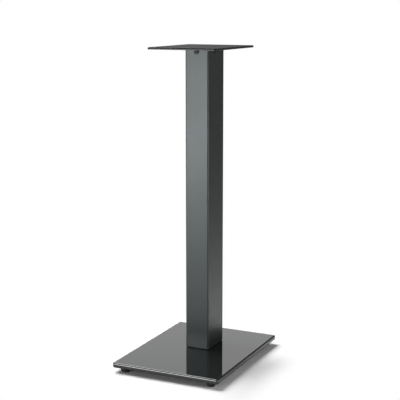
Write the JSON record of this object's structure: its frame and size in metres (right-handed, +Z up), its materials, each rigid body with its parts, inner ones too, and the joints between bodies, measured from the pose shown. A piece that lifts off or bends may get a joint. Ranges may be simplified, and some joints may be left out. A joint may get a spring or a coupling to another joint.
{
  "type": "speaker stand",
  "caption": "Floor stand for a bookshelf speaker: glass base on rubber feet, rectangular steel column and a thin flat steel top plate.",
  "frame": {"origin": "on the floor, under the middle of the base plate", "axes": "+Z up, -Y towards the front of the stand, +X to the right seen from the front"},
  "size_m": [0.22, 0.29, 0.61],
  "materials": {
    "black_glass": "opaque black, polished, with polished rounded edges",
    "column_paint": "black semi-gloss powder coat",
    "plate_paint": "black satin powder coat",
    "foot_rubber": "matte moulded rubber",
    "gasket_rubber": "matte black rubber",
    "adhesive_foam": "black adhesive foam",
    "nylon": "natural nylon",
    "cast_alloy": "as cast",
    "zinc_steel": "bright zinc plated",
    "black_screw": "black zinc plated"
  },
  "bodies": {
    "root": {"base_plate": "black_glass", "foot_front_left": "foot_rubber", "foot_front_right": "foot_rubber", "foot_rear_left": "foot_rubber", "foot_rear_right": "foot_rubber", "foot_disc_front_left": "adhesive_foam", "foot_disc_front_right": "adhesive_foam", "foot_disc_rear_left": "adhesive_foam", "foot_disc_rear_right": "adhesive_foam", "clamp_plate": "zinc_steel", "clamp_gasket": "gasket_rubber", "column_gasket": "gasket_rubber", "base_bolt_front_left": "zinc_steel", "base_bolt_front_right": "zinc_steel", "base_bolt_rear_left": "zinc_steel", "base_bolt_rear_right": "zinc_steel", "bolt_bush_front_left": "nylon", "bolt_bush_front_right": "nylon", "bolt_bush_rear_left": "nylon", "bolt_bush_rear_right": "nylon", "column": "column_paint", "column_foot_plate": "column_paint", "top_fitting": "cast_alloy", "column_screw_front": "black_screw", "column_screw_right": "black_screw", "column_screw_rear": "black_screw", "column_screw_left": "black_screw", "cable_grommet_lower": "gasket_rubber", "cable_grommet_upper": "gasket_rubber", "top_plate": "plate_paint", "top_plate_screw": "black_screw"}
  },
  "joints": []
}
